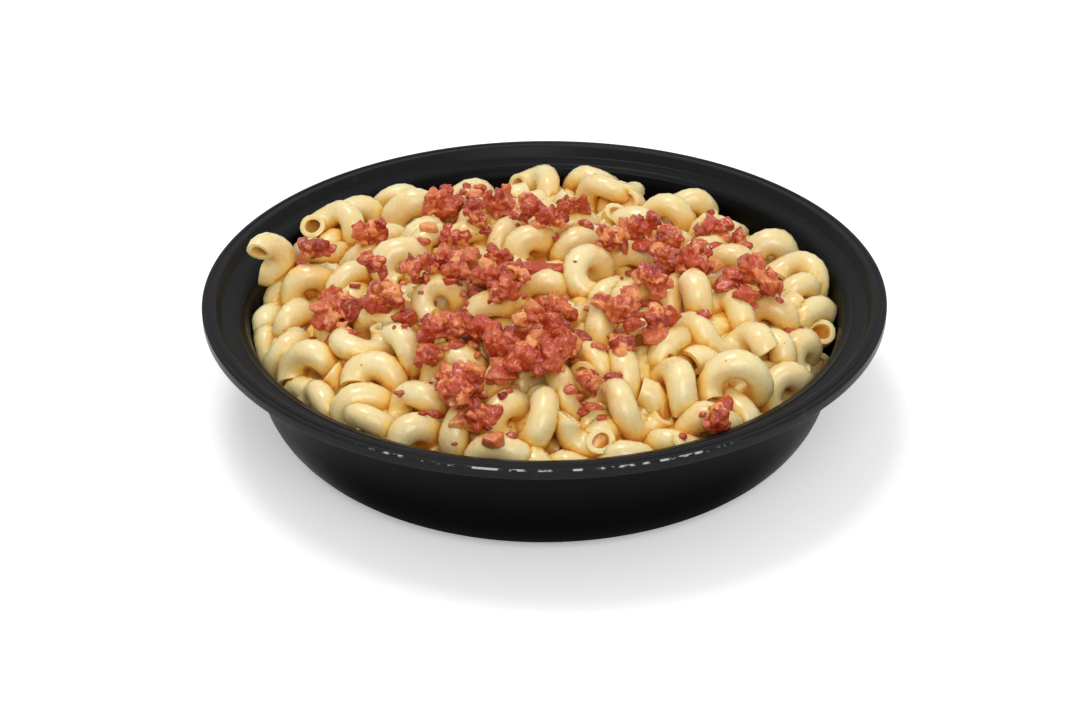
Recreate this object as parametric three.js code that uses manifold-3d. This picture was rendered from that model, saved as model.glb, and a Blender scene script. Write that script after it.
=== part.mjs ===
// Mac and cheese in a round take-out bowl: corkscrew pasta tubes heaped in
// sauce, with crisp diced bacon scattered over the top.
// Millimetres, +Z up. The bowl stands on z = 0 with its centre on the Z axis.
import * as THREE from 'three';
import { mergeVertices } from 'three/addons/utils/BufferGeometryUtils.js';
import Module from 'manifold-3d';

// Bowl
const RIM_HEIGHT = 46;
const RIM_RADIUS = 114.5;
const FLANGE_INNER_RADIUS = 109.9;
const SKIRT_DROP = 3.3;
const LEDGE_OUTER_RADIUS = 108.1;
const LEDGE_INNER_RADIUS = 103.4;
const LEDGE_DROP = 3.8;
const LEDGE_SLOPE = 0.8;
const WALL = 1.0;
const WALL_TOP_RADIUS = 100.4;
const WALL_KNEE_RADIUS = 98;
const WALL_KNEE_HEIGHT = 22;
const BASE_RADIUS = 82;
const BOWL_SIDES = 40;
const BOWL_CURVE_STEPS = 5;

// Contents
const CLEARANCE = 0.45;
const CROWN_HEIGHT = 62;
const CROWN_FALL = 21;
const HEAP_RADIUS = 98;
const HEAP_CURVE = 2.2;
const SAUCE_DEPTH = 7.5;
const CORE_SIDES = 20;

// Corkscrew pasta
const TUBE_RADIUS = 4.5;
const BORE_RADIUS = 2.6;
const BORE_DEPTH = 5;
const TUBE_SIDES = 6;
const STEPS_PER_TURN = 5;

// Bacon
const BACON_GAP = 0.35;
const BACON_STEP = 0.5;
const BIT_LIFT = -1.5;
const BACON_SEED = 90210;

// Pieces of pasta on show: x, y, z of the middle, heading, tilt and starting
// angle in degrees, turns of the coil, radius and pitch of the coil, and its
// open ends (1 first, 2 last).
const PASTA = [
  [17.9, 88.9, 38.5, 31, 26, 93, 0.79, 4.8, 16.6, 0], [-0.6, 88.1, 37.9, 339, -32, 76, 0.93, 4.8, 16.8, 0],
  [23.2, 75.7, 41.2, 24, 30, 90, 0.92, 5.8, 20.5, 0], [-52.8, 75, 38.2, 66, 8, 96, 0.9, 5.1, 15.6, 0],
  [54.5, 67.8, 38.4, 70, 10, 120, 0.99, 5.8, 15.2, 0], [-66.1, 60.8, 38.5, 91, -23, 102, 1.08, 5.4, 13, 0],
  [-47.3, 60.5, 41.3, 72, 19, 83, 1.01, 5.8, 16, 0], [-73.2, 48.3, 44, 5, -30, 56, 1.01, 4.5, 16.7, 1],
  [40.8, 47.4, 44.1, 39, -2, 341, 1.74, 5, 15.5, 0], [-56.7, 42.1, 39.2, 74, 16, 118, 0.97, 5, 15.6, 0],
  [-80.4, 37.7, 36.4, 37, 36, 90, 0.83, 4.7, 16.1, 0], [81, 37, 36.2, 69, -10, 141, 1.08, 5.8, 14.2, 0],
  [9.5, 28.7, 49.5, 83, 14, 102, 1.06, 5.8, 16.4, 0], [-38.8, 26.8, 46.1, 99, 0, 123, 0.99, 4.9, 14.5, 0],
  [-11.9, 25.8, 49.1, 101, -2, 120, 1.02, 4.9, 15.9, 0], [-25.7, 25.2, 49, 266, -8, 61, 0.97, 4.9, 14.1, 0],
  [-61.2, 24.8, 41.6, 91, 44, 63, 0.84, 4.7, 16.5, 0], [89.7, 15.1, 37.2, 18, -33, 113, 1, 5.8, 16.2, 0],
  [12.2, 14.7, 51, 82, 14, 105, 1.02, 5.3, 15.9, 0], [-4.3, 14.1, 52.6, 88, 4, 126, 0.94, 4.8, 13, 0],
  [-89.1, 11.4, 27.1, 58, 43, 18, 0.52, 4.8, 16.5, 2], [-93.6, 9.5, 50.5, 290, 30, 12, 0.74, 4.5, 14, 2],
  [-48.8, 8.8, 48.7, 87, -9, 101, 1.11, 5.8, 13, 0], [27.6, 8.6, 48.2, 76, 14, 117, 1.04, 5.8, 15.7, 0],
  [60.9, 8.2, 44, 47, 8, 331, 1.69, 4.9, 15.2, 0], [-79.6, 8, 39.4, 82, 5, 98, 1.13, 5.8, 13, 0],
  [86.9, 7.3, 35.1, 95, 4, 112, 1.01, 5.5, 13, 0], [-65.2, 7.1, 41.6, 93, 6, 114, 1.03, 4.8, 15.1, 0],
  [-92, -6.7, 31.1, 139, 9, 46, 0.69, 4.7, 16.4, 0], [89.8, -7.8, 33.4, 101, 2, 103, 1, 5.4, 14.8, 0],
  [14.8, -8, 53.4, 109, -16, 75, 1.11, 5.8, 15.8, 0], [-0.1, -10.8, 48.5, 59, 16, 111, 1.04, 5.8, 16.4, 0],
  [87, -11.1, 35.6, 103, 6, 307, 0.73, 4.7, 16.3, 1], [-83.4, -12.4, 36.3, 302, -14, 122, 1.05, 4.9, 15, 0],
  [75.6, -13.9, 38, 51, -6, 130, 1, 5.8, 13, 0], [43.7, -15.4, 45.6, 127, -5, 86, 0.98, 5.8, 15.2, 0],
  [-91.3, -16.6, 28.8, 329, 6, 132, 0.74, 4.9, 15.9, 0], [21.8, -18.6, 48.8, 109, -4, 104, 1.01, 5, 15, 0],
  [-33.3, -19.4, 50.5, 76, -19, 135, 1.25, 5.4, 15.5, 0], [29, -19.8, 48.9, 91, 2, 112, 0.98, 5.4, 13.9, 0],
  [58.3, -22.9, 47.5, 352, -23, 10, 1.7, 3.9, 15.7, 0], [-49.4, -24.5, 44.4, 31, 25, 140, 1.17, 5.8, 20.1, 0],
  [-15.5, -26.2, 49.3, 64, 16, 118, 0.99, 5.8, 16, 0], [84, -27, 32.1, 109, -3, 96, 1.06, 5, 13, 0],
  [-84.7, -28.7, 33.9, 285, -35, 139, 0.79, 4.9, 16.5, 0], [73.4, -34.7, 36.3, 23, -41, 125, 0.89, 4.7, 13.6, 0],
  [-74.7, -37.9, 36.6, 43, 5, 118, 0.94, 5.4, 16.1, 0], [58, -38, 44.2, 349, -6, 269, 1.37, 3.9, 20, 2],
  [-59.5, -38.6, 44.4, 350, 45, 171, 1.01, 5, 16.3, 0], [18.1, -40.4, 51, 322, -16, 129, 1.38, 4.4, 18.6, 2],
  [-69.9, -45.6, 33.1, 63, -42, 230, 0.6, 4.8, 18.2, 1], [49.8, -48.7, 35.7, 67, -52, 193, 0.93, 4.6, 16.9, 1],
  [76.7, -48.9, 32.1, 90, -8, 106, 1.05, 5.8, 13, 0], [-52.3, -51.8, 38.7, 51, -23, 147, 1.05, 5.2, 13.9, 0],
  [16.1, -53.5, 43.1, 5, 2, 130, 0.93, 5.8, 18.2, 0], [-27.6, -54.1, 44.2, 42, 7, 113, 1.04, 5.8, 16.7, 0],
  [-70.8, -56.3, 31.3, 0, 4, 104, 0.92, 5.1, 16.2, 0], [59.8, -58.6, 41.3, 68, -9, 116, 0.89, 7.2, 17.7, 1],
  [30, -59.2, 42.4, 343, -10, 232, 1.76, 5.7, 17.7, 2], [-14, -61.4, 42.9, 315, -36, 153, 0.95, 5.8, 17.2, 0],
  [-57.5, -62.9, 34.5, 83, 1, 92, 1.07, 5.6, 13, 0], [60, -63.4, 31.6, 357, 6, 96, 0.9, 4.9, 16.3, 0],
  [-44, -69.4, 39.1, 17, 16, 353, 1.62, 4.2, 18, 1], [18.5, -70.3, 40.3, 345, -8, 32, 1.81, 5.6, 19.3, 2],
  [50.2, -71.6, 33.6, 55, 17, 116, 0.85, 4.9, 16.3, 0], [-12.3, -75.5, 39.2, 103, -7, 96, 0.97, 4.9, 13, 0],
  [-40.1, -78.7, 34.1, 84, 10, 100, 0.98, 5.2, 13.7, 0], [39.4, -78.8, 30.4, 34, 24, 134, 0.79, 4.7, 16.2, 0],
  [-25.3, -79.2, 36.1, 312, -17, 152, 0.83, 5.1, 16, 0], [-1.1, -80.4, 37.4, 324, -53, 185, 0.82, 4.8, 20.5, 1],
  [11, -83.9, 39.3, 276, -10, 252, 0.6, 4.9, 14, 2], [23.9, -88, 29.2, 73, 10, 102, 0.94, 5.8, 13, 0],
  [-14.8, -89.4, 32.9, 59, 7, 93, 0.93, 5.7, 13, 0],
  [-86, 10, 37, 70, 0, 100, 1.1, 4.7, 16.5, 0],
];

// Bacon pieces: x, y, length, width, thickness, heading in degrees.
const BACON = [
  [-78.3, 11.6, 14, 8, 8, 18], [-59.6, 21.5, 16, 7, 8, 40], [-69.4, -23.3, 21, 8, 9, 24],
  [-56.4, -13.2, 9, 9, 9, 0], [-40.5, -21.2, 13, 7, 8, 18], [-52, -27.8, 11, 9, 9, 33],
  [-35.2, 44.1, 14, 11, 10, 18], [-30, 12.5, 11, 8, 8, 0], [-33.9, -12.5, 12, 9, 8, 33],
  [-28.1, -21.2, 11, 7, 7, -57], [-27.2, -5.4, 14, 7, 8, -18], [-15, 37.9, 12, 11, 10, 0],
  [-23.3, 48.2, 8, 10, 8, 84], [-23.1, 22.1, 10, 8, 8, -46], [-15.6, -5.9, 12, 7, 8, -18],
  [-4.9, 19.5, 11, 10, 9, 72], [-11.2, -17.5, 13, 7, 9, -18], [-17.7, -24.6, 9, 9, 9, 57],
  [-12.5, -31.9, 12, 8, 9, 33], [5, -38.3, 12, 8, 9, 9], [-5.2, -46.9, 12, 12, 12, 0],
  [3.6, -49.8, 10, 12, 11, 90], [-3.8, -67.6, 16, 14, 12, 18], [6.5, -60.7, 13, 8, 10, 40],
  [-25.8, -73.4, 14, 12, 12, -33], [-29.1, -79.7, 13, 10, 11, 0], [-19.9, -85.5, 10, 8, 9, -57],
  [-34.1, -50.9, 11, 9, 10, 46], [-26, -48.2, 13, 10, 10, 26], [-18.7, -52.3, 12, 9, 10, -33],
  [-14.2, -60.5, 13, 8, 10, -26], [-37, -60.3, 13, 7, 8, 79], [24.5, -46.2, 13, 11, 11, 0],
  [34.7, -43.8, 11, 9, 10, 18], [22.4, 2.1, 13, 9, 9, 18], [32.7, 11.9, 13, 9, 9, 9],
  [42.4, 15, 12, 8, 8, -9], [40.8, -5.4, 11, 11, 11, 0], [52.6, 5.3, 10, 8, 9, 33],
  [49.2, -13.3, 9, 13, 9, 79], [59.2, 27.2, 12, 9, 9, -18], [67.9, 19.7, 11, 7, 8, -52],
  [67.8, -14.4, 13, 12, 11, 0], [74.1, -17.9, 12, 8, 9, -57], [34.7, -25, 13, 8, 9, -46],
  [11, 27, 14, 7, 8, 0], [2.9, 13.3, 8, 11, 8, 84], [51.3, -83, 10, 9, 10, -40],
  [12.1, -73.4, 11, 7, 9, -52],
];

// Bits of bacon too small to stand alone, pressed into the pasta.
const BACON_BITS = [
  [-69.9, -3.1, 9, 6, 7, -65], [-49.4, -14.1, 8, 9, 9, 72], [-45.3, -32.1, 10, 7, 8, -18],
  [-5.7, -10.8, 11, 6, 8, -18], [-34.4, -84.1, 9, 8, 9, 18], [58.1, -18.7, 9, 8, 10, 0],
  [18.8, 22.2, 10, 6, 7, -46], [-5.5, -95.6, 9, 8, 10, -18], [-15.3, -92.7, 9, 8, 9, 0],
];

const radians = (degrees) => degrees * Math.PI / 180;

const heapHeight = (x, y) =>
  CROWN_HEIGHT - CROWN_FALL * (Math.hypot(x, y) / HEAP_RADIUS) ** HEAP_CURVE;

// Repeatable dice: the same throws every time from the same seed.
class Dice {
  constructor(seed) {
    this.state = seed;
  }

  next() {
    this.state = (this.state * 16807) % 2147483647;
    return this.state / 2147483647;
  }

  between(low, high) {
    return low + (high - low) * this.next();
  }
}

// A corkscrew of tube: a coil wound around a straight axis.
class Corkscrew {
  constructor([x, y, z, heading, tilt, start, turns, coilRadius, pitch, openEnds]) {
    this.centre = new THREE.Vector3(x, y, z);
    this.turns = turns;
    this.coilRadius = coilRadius;
    this.pitch = pitch;
    this.start = radians(start);
    this.openEnds = openEnds;
    const h = radians(heading);
    const t = radians(tilt);
    this.axis = new THREE.Vector3(Math.cos(h) * Math.cos(t), Math.sin(h) * Math.cos(t), Math.sin(t));
    this.side = new THREE.Vector3(-Math.sin(h), Math.cos(h), 0);
    this.lift = new THREE.Vector3().crossVectors(this.axis, this.side);
  }

  // Middle of the tube and its outward and sideways directions at a turn.
  frame(turn) {
    const angle = 2 * Math.PI * turn + this.start;
    const outward = this.side.clone().multiplyScalar(Math.cos(angle))
      .addScaledVector(this.lift, Math.sin(angle));
    const around = this.lift.clone().multiplyScalar(Math.cos(angle))
      .addScaledVector(this.side, -Math.sin(angle));
    const along = around.multiplyScalar(2 * Math.PI * this.coilRadius)
      .addScaledVector(this.axis, this.pitch).normalize();
    const middle = this.centre.clone().addScaledVector(this.axis, turn * this.pitch)
      .addScaledVector(outward, this.coilRadius);
    const across = new THREE.Vector3().crossVectors(along, outward);
    const roll = -2 * Math.PI * this.pitch * turn
      / Math.hypot(2 * Math.PI * this.coilRadius, this.pitch);
    return { middle, outward, across, along, roll };
  }
}

// Closed skin stretched over rings of points, with a fan at either end.
function skin(rings) {
  const sides = rings[0].length;
  const positions = [];
  const index = [];
  rings.forEach((ring) => ring.forEach((p) => positions.push(p.x, p.y, p.z)));
  for (let i = 0; i + 1 < rings.length; i += 1) {
    for (let j = 0; j < sides; j += 1) {
      const a = i * sides + j;
      const b = i * sides + (j + 1) % sides;
      index.push(a, b, b + sides, a, b + sides, a + sides);
    }
  }
  const last = (rings.length - 1) * sides;
  for (let j = 1; j + 1 < sides; j += 1) {
    index.push(0, j + 1, j, last, last + j, last + j + 1);
  }
  const geometry = new THREE.BufferGeometry();
  geometry.setAttribute('position', new THREE.Float32BufferAttribute(positions, 3));
  geometry.setIndex(index);
  return geometry;
}

function tubeRing({ middle, outward, across, roll }, radius) {
  const ring = [];
  for (let j = 0; j < TUBE_SIDES; j += 1) {
    const a = 2 * Math.PI * j / TUBE_SIDES + roll;
    ring.push(middle.clone().addScaledVector(outward, radius * Math.cos(a))
      .addScaledVector(across, radius * Math.sin(a)));
  }
  return ring;
}

// Solid low-sided tube along the coil.
function tubeGeometry(piece) {
  const steps = Math.max(4, Math.round(piece.turns * STEPS_PER_TURN));
  const rings = [];
  for (let i = 0; i <= steps; i += 1) {
    rings.push(tubeRing(piece.frame((i / steps - 0.5) * piece.turns), TUBE_RADIUS * 1.08));
  }
  return skin(rings);
}

// Short round bore at an open end of the tube.
function boreGeometry(piece, sign) {
  const end = piece.frame(sign * piece.turns / 2);
  const inner = { ...end, middle: end.middle.clone().addScaledVector(end.along, -sign * BORE_DEPTH) };
  const outer = { ...end, middle: end.middle.clone().addScaledVector(end.along, sign) };
  const rings = [tubeRing(inner, BORE_RADIUS), tubeRing(outer, BORE_RADIUS)];
  return skin(sign > 0 ? rings : rings.reverse());
}

// Uneven faceted chunk, blunt at the corners like a diced piece.
function chunkGeometry([length, width, thickness], grow, dice) {
  const base = new THREE.SphereGeometry(1, 6, 4);
  base.deleteAttribute('normal');
  base.deleteAttribute('uv');
  const geometry = mergeVertices(base, 1e-4);
  const p = geometry.getAttribute('position');
  const half = [length / 2, width / 2, thickness / 2];
  for (let i = 0; i < p.count; i += 1) {
    const bulge = dice.between(0.86, 1.08);
    const values = [p.getX(i), p.getZ(i), -p.getY(i)];
    const shaped = values.map((v, k) =>
      Math.sign(v) * Math.abs(v) ** 0.72 * (half[k] * bulge + grow));
    p.setXYZ(i, ...shaped);
  }
  return geometry;
}

// Bacon chunk with its underside at a height above the core of the heap.
function baconGeometry([x, y, length, width, thickness, heading], order, grow, lift) {
  const dice = new Dice(BACON_SEED + 97 * order);
  const geometry = chunkGeometry([length, width, thickness], grow, dice);
  const z = heapHeight(x, y) - SAUCE_DEPTH + thickness / 2 + lift;
  const turn = new THREE.Euler(
    radians(dice.between(-14, 14)), radians(dice.between(-14, 14)), radians(heading), 'ZYX');
  geometry.applyMatrix4(new THREE.Matrix4().makeRotationFromEuler(turn));
  geometry.translate(x, y, z);
  return geometry;
}

// Section of the bowl wall from the middle of the base out and up.
function wallCurve(inset) {
  const points = [];
  const across = WALL_KNEE_RADIUS - BASE_RADIUS;
  for (let i = 0; i <= BOWL_CURVE_STEPS; i += 1) {
    const a = Math.PI / 2 * i / BOWL_CURVE_STEPS;
    points.push([
      BASE_RADIUS + (across - inset) * Math.sin(a),
      WALL_KNEE_HEIGHT - (WALL_KNEE_HEIGHT - inset) * Math.cos(a)]);
  }
  return points;
}

function lathe(points, sides) {
  const profile = points.map(([r, z]) => new THREE.Vector2(r, z));
  const geometry = new THREE.LatheGeometry(profile, sides);
  geometry.rotateX(Math.PI / 2);
  return geometry;
}

function bowlGeometry() {
  const ledge = RIM_HEIGHT - LEDGE_DROP;
  const ledgeInner = ledge - LEDGE_SLOPE;
  const outside = wallCurve(0);
  const inside = wallCurve(WALL).reverse();
  const profile = [
    [0, 0],
    ...outside,
    [WALL_TOP_RADIUS, ledgeInner - 3.2],
    [LEDGE_INNER_RADIUS - 1, ledgeInner - WALL],
    [LEDGE_OUTER_RADIUS + 0.8, ledge - WALL],
    [FLANGE_INNER_RADIUS + 0.6, RIM_HEIGHT - 1.1],
    [RIM_RADIUS - 1.2, RIM_HEIGHT - 1.1],
    [RIM_RADIUS - 1.1, RIM_HEIGHT - SKIRT_DROP],
    [RIM_RADIUS, RIM_HEIGHT - SKIRT_DROP],
    [RIM_RADIUS, RIM_HEIGHT - 0.5],
    [RIM_RADIUS - 0.5, RIM_HEIGHT],
    [FLANGE_INNER_RADIUS, RIM_HEIGHT],
    [LEDGE_OUTER_RADIUS, ledge],
    [LEDGE_INNER_RADIUS, ledgeInner],
    [WALL_TOP_RADIUS + 0.3, ledgeInner - 0.9],
    [WALL_TOP_RADIUS - WALL, ledgeInner - 3.2],
    ...inside,
    [0, WALL]];
  return lathe(profile, BOWL_SIDES);
}

// Space inside the bowl that the contents may fill, up to above the heap.
function roomProfile() {
  const gap = WALL + CLEARANCE;
  const ledgeInner = RIM_HEIGHT - LEDGE_DROP - LEDGE_SLOPE;
  return [
    [0, gap],
    ...wallCurve(gap),
    [WALL_TOP_RADIUS - gap, ledgeInner - 3],
    [WALL_TOP_RADIUS - 0.3, ledgeInner],
    [LEDGE_INNER_RADIUS - 0.6, ledgeInner + 0.9],
    [LEDGE_OUTER_RADIUS - 1.2, RIM_HEIGHT - LEDGE_DROP + 0.6],
    [LEDGE_OUTER_RADIUS - 1.2, CROWN_HEIGHT + 20],
    [0, CROWN_HEIGHT + 20]];
}

// Thick sauce and buried pasta below the pieces on show.
function coreGeometry() {
  const gap = WALL + CLEARANCE;
  const top = [];
  const edge = WALL_TOP_RADIUS - gap - 2;
  for (let i = 0; i <= 5; i += 1) {
    const r = edge * (1 - i / 5);
    top.push([r, heapHeight(r, 0) - SAUCE_DEPTH]);
  }
  return lathe([[0, gap], ...wallCurve(gap), ...top], CORE_SIDES);
}

const wasm = await Module();
wasm.setup();

function solid(geometry) {
  const clean = geometry.clone();
  clean.deleteAttribute('normal');
  clean.deleteAttribute('uv');
  const merged = mergeVertices(clean, 1e-4);
  return new wasm.Manifold(new wasm.Mesh({
    numProp: 3,
    vertProperties: new Float32Array(merged.getAttribute('position').array),
    triVerts: new Uint32Array(merged.getIndex().array),
  }));
}

// Outer skin of a solid, without loose crumbs or pockets closed inside it.
function geometryOf(manifold) {
  const bodies = manifold.decompose().sort((a, b) => b.volume() - a.volume());
  const mesh = bodies[0].getMesh();
  const geometry = new THREE.BufferGeometry();
  geometry.setAttribute('position', new THREE.Float32BufferAttribute(mesh.vertProperties, 3));
  geometry.setIndex(Array.from(mesh.triVerts));
  return geometry;
}

function tubeSolid(piece) {
  let tube = solid(tubeGeometry(piece));
  if (piece.openEnds & 1) {
    tube = tube.subtract(solid(boreGeometry(piece, -1)));
  }
  if (piece.openEnds & 2) {
    tube = tube.subtract(solid(boreGeometry(piece, 1)));
  }
  return tube;
}

function heapSolid(pieces) {
  let heap = solid(coreGeometry());
  pieces.forEach((piece) => {
    heap = heap.add(tubeSolid(piece));
  });
  BACON_BITS.forEach((bit, i) => {
    heap = heap.add(solid(baconGeometry(bit, 200 + i, 0, BIT_LIFT)));
  });
  return heap.intersect(solid(lathe(roomProfile(), CORE_SIDES)));
}

// Lowers each bacon piece until it rests on the pasta, with flats where it
// leans against the pieces laid before it.
function layBacon(heap) {
  const room = solid(lathe(roomProfile(), CORE_SIDES));
  const hulls = [];
  return BACON.map((row, order) => {
    let lift = 0;
    while (!heap.intersect(solid(baconGeometry(row, order, BACON_GAP, lift))).isEmpty()) {
      lift += BACON_STEP;
    }
    let chunk = solid(baconGeometry(row, order, 0, lift)).intersect(room);
    hulls.forEach((hull) => {
      chunk = chunk.subtract(hull);
    });
    hulls.push(solid(baconGeometry(row, order, BACON_GAP, lift)));
    return chunk;
  });
}

function part(name, geometry, material) {
  const mesh = new THREE.Mesh(geometry, material);
  mesh.name = name;
  return mesh;
}

const plastic = new THREE.MeshStandardMaterial({ name: 'black_plastic', color: 0x17181a, roughness: 0.35 });
const pasta = new THREE.MeshStandardMaterial({ name: 'cheesy_pasta', color: 0xecd096, roughness: 0.4 });
const bacon = new THREE.MeshStandardMaterial({ name: 'bacon', color: 0xb8533f, roughness: 0.4 });

const heap = heapSolid(PASTA.map((row) => new Corkscrew(row)));

const group = new THREE.Group();
group.name = 'mac_and_cheese';
group.add(part('bowl', bowlGeometry(), plastic));
group.add(part('pasta_heap', geometryOf(heap), pasta));
layBacon(heap).forEach((chunk, i) => {
  const name = `bacon_${String(i + 1).padStart(2, '0')}`;
  group.add(part(name, geometryOf(chunk), bacon));
});

export default group;
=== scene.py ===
"""Mac and cheese with diced bacon in a round black take-out bowl.

Metres, +Z up, the bowl standing on z = 0 with its middle on the Z axis. The bowl, the corkscrew
pasta, the cheese sauce and the bacon are each built by a class of their own.
"""

import logging
import math
import random
from contextlib import contextmanager
from dataclasses import dataclass
from enum import Enum
from typing import Iterator, Optional, Sequence, Union

import bpy
import numpy as np
from mathutils import Matrix, Vector
from mathutils.bvhtree import BVHTree
from mathutils.kdtree import KDTree


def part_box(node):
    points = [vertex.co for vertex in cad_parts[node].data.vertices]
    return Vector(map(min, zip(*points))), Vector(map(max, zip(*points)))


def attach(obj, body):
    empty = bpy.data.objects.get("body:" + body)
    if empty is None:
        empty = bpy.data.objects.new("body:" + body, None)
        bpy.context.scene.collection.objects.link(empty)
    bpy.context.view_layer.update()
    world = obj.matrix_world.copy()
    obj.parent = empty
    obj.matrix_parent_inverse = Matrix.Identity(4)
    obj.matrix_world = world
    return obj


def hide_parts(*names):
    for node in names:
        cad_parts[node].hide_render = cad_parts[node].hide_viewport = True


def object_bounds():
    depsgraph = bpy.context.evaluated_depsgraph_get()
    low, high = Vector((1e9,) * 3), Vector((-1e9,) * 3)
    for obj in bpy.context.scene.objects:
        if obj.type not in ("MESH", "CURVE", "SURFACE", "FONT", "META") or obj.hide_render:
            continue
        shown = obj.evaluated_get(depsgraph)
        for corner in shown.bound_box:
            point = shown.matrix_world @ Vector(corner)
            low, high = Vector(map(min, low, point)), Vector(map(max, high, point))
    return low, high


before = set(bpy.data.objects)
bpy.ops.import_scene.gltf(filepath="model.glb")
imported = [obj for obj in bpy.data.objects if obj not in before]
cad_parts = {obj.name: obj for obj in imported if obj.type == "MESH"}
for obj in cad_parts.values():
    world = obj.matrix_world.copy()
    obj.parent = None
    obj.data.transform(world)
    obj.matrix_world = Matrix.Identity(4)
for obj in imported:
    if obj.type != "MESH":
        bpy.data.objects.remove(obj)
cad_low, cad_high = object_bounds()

log = logging.getLogger("mac_and_cheese")

MM = 0.001
TURN = 2 * math.pi
GOLDEN_ANGLE = 2.4
WHITE = (1.0, 1.0, 1.0, 1.0)

Colour = tuple[float, float, float, float]
Span = tuple[float, float]

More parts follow.
